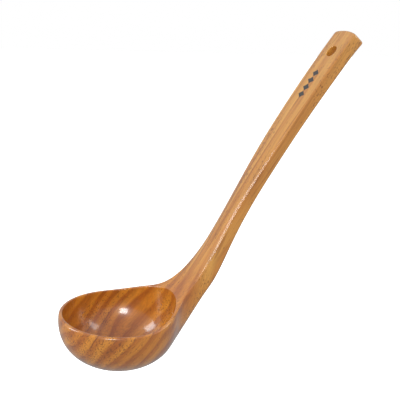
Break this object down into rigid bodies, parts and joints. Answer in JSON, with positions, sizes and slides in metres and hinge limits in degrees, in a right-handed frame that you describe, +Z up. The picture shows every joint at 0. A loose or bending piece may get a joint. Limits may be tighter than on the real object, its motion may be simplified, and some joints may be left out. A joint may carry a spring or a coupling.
{
  "type": "wooden ladle",
  "caption": "Long-handled lacquered wooden soup ladle with a deep round bowl, a rising shoulder and a hanging hole near the handle's tip.",
  "frame": {"origin": "the middle of the hanging hole near the handle's tip", "axes": "+Z up, square to the bowl's level front rim; +X the way the handle leans away from the bowl; +Y across, and the XZ plane is the plane of symmetry"},
  "size_m": [0.2314, 0.0912, 0.2552],
  "materials": {
    "lacquered_wood": "clear gloss lacquer over carved wood"
  },
  "bodies": {
    "root": {"bowl": "lacquered_wood", "handle": "lacquered_wood"}
  },
  "joints": []
}
